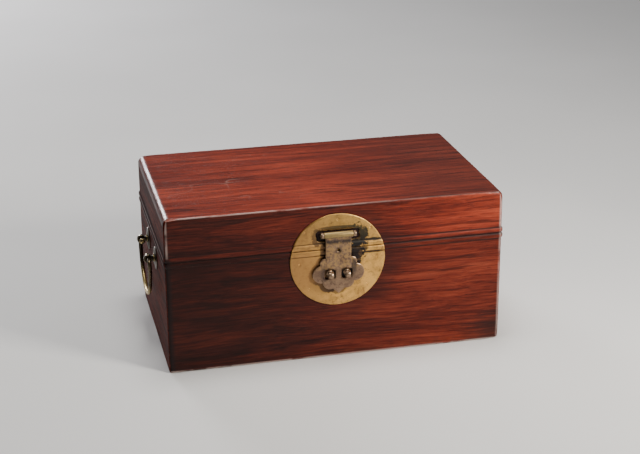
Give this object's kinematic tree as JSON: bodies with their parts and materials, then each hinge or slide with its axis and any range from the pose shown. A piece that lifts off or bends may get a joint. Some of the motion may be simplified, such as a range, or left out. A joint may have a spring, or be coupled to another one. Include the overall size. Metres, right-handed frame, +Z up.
{
  "type": "wooden money box",
  "caption": "Hinged rosewood money box with a softly rounded lid, round brass lock plate, cloud-shaped hasp over padlock eyelets, and a swinging bail handle on each end.",
  "frame": {"origin": "centre of the flat underside, on the surface the box rests on", "axes": "+X along the front to the right as seen from the front, -Y out of the front with the lock, +Z up"},
  "size_m": [0.3756, 0.2289, 0.166],
  "materials": {
    "rosewood": "waxed red-brown rosewood boards with darker streaks",
    "rosewood_top": "waxed rosewood, redder and brighter, with long straight streaks",
    "rosewood_base": "plain unpolished rosewood board",
    "plate_brass": "old yellow sheet brass with olive and brown patina and fine scratches",
    "hasp_brass": "worn grey-brown brass with bright rubbed edges",
    "hinge_brass": "old sheet brass with brown patina",
    "handle_bronze": "dark bronze patina, rubbed golden where the hand holds it"
  },
  "bodies": {
    "box": {"body_front": "rosewood", "body_back": "rosewood", "body_left": "rosewood", "body_right": "rosewood", "body_bottom": "rosewood_base", "lock_plate_lower": "plate_brass", "lower_plate_pins": "plate_brass", "padlock_eyelet_left": "hasp_brass", "padlock_eyelet_right": "hasp_brass", "padlock_eyelet_washers": "hasp_brass", "left_post_front": "handle_bronze", "left_post_rear": "handle_bronze", "left_rosette_front": "handle_bronze", "left_rosette_rear": "handle_bronze", "right_post_front": "handle_bronze", "right_post_rear": "handle_bronze", "right_rosette_front": "handle_bronze", "right_rosette_rear": "handle_bronze", "handle_post_washers": "handle_bronze", "hinge_left_lower_leaf": "hinge_brass", "hinge_left_pin": "hinge_brass", "hinge_right_lower_leaf": "hinge_brass", "hinge_right_pin": "hinge_brass", "body_hinge_nails": "hinge_brass"},
    "lid": {"lid_front": "rosewood", "lid_back": "rosewood", "lid_left": "rosewood", "lid_right": "rosewood", "lid_top": "rosewood_top", "lock_plate_upper": "plate_brass", "upper_plate_pins": "plate_brass", "hasp_pin": "hasp_brass", "hasp_staple_left": "hasp_brass", "hasp_staple_right": "hasp_brass", "hasp_staple_washers": "hasp_brass", "hinge_left_upper_leaf": "hinge_brass", "hinge_right_upper_leaf": "hinge_brass", "lid_hinge_nails": "hinge_brass"},
    "hasp_plate": {"hasp": "hasp_brass"},
    "left_handle": {"left_bail": "handle_bronze"},
    "right_handle": {"right_bail": "handle_bronze"}
  },
  "joints": [
    {"name": "lid_hinge", "type": "hinge", "parent": "box", "child": "lid", "pos_m": [0, 0.1096, 0.12], "axis": [-1, 0, 0], "range_deg": [0, 105]},
    {"name": "hasp_hinge", "type": "hinge", "parent": "lid", "child": "hasp_plate", "pos_m": [0, -0.10915, 0.1358], "axis": [-1, 0, 0], "range_deg": [0, 170]},
    {"name": "left_bail_hinge", "type": "hinge", "parent": "box", "child": "left_handle", "pos_m": [-0.183, 0, 0.097], "axis": [0, 1, 0], "range_deg": [-5, 180]},
    {"name": "right_bail_hinge", "type": "hinge", "parent": "box", "child": "right_handle", "pos_m": [0.183, 0, 0.097], "axis": [0, -1, 0], "range_deg": [-5, 180]}
  ]
}
